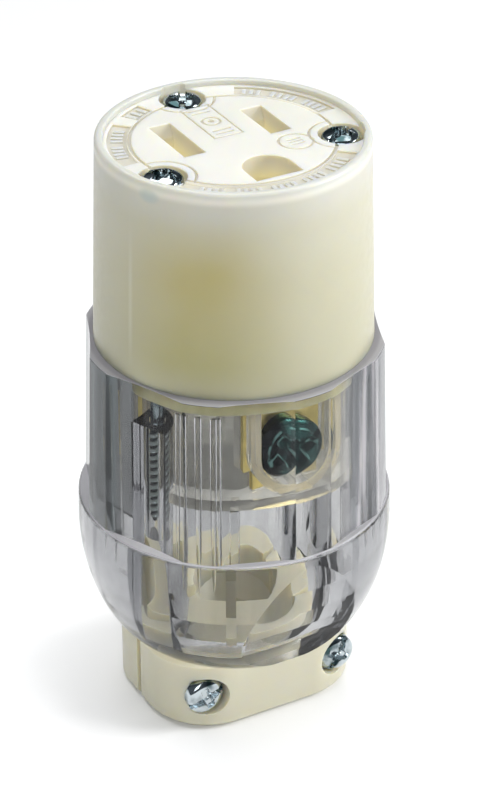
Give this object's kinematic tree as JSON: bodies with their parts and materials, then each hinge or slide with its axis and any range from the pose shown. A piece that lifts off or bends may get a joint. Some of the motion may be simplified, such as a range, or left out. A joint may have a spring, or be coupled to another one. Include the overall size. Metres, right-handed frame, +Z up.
{
  "type": "cord connector",
  "caption": "Three-pin female cord connector, upright: round nylon face body screwed to a ribbed clear back housing, with terminals inside and a two-jaw cord clamp below.",
  "frame": {"origin": "middle of the cord clamp's foot, on the surface it stands on", "axes": "+Z up along the plug axis to the contact face, -Y towards the earth pin's side, +X to the narrow slot"},
  "size_m": [0.0422, 0.0422, 0.0825],
  "materials": {
    "natural_nylon": "natural translucent nylon, satin moulded",
    "clear_polycarbonate": "clear polished polycarbonate",
    "clear_carrier": "translucent moulded, glossy",
    "clamp_nylon": "natural nylon, satin moulded",
    "brass_strip": "stamped brass strip",
    "spring_steel": "blued spring steel",
    "brass_screw": "bright brass",
    "nickel_screw": "nickel plated",
    "green_screw": "green dyed, glossy",
    "zinc_screw": "bright zinc plated steel"
  },
  "bodies": {
    "root": {"face_body": "natural_nylon", "back_housing": "clear_polycarbonate", "terminal_carrier": "clear_carrier", "hot_contact": "brass_strip", "neutral_contact": "brass_strip", "ground_contact": "brass_strip", "hot_contact_spring": "spring_steel", "neutral_contact_spring": "spring_steel", "ground_contact_spring": "spring_steel", "hot_terminal_screw": "brass_screw", "neutral_terminal_screw": "nickel_screw", "ground_terminal_screw": "green_screw", "hot_pressure_plate": "brass_strip", "neutral_pressure_plate": "brass_strip", "ground_pressure_plate": "brass_strip", "assembly_screws": "zinc_screw", "cord_clamp_front": "clamp_nylon", "cord_clamp_rear": "clamp_nylon", "cord_clamp_screws": "zinc_screw"}
  },
  "joints": []
}
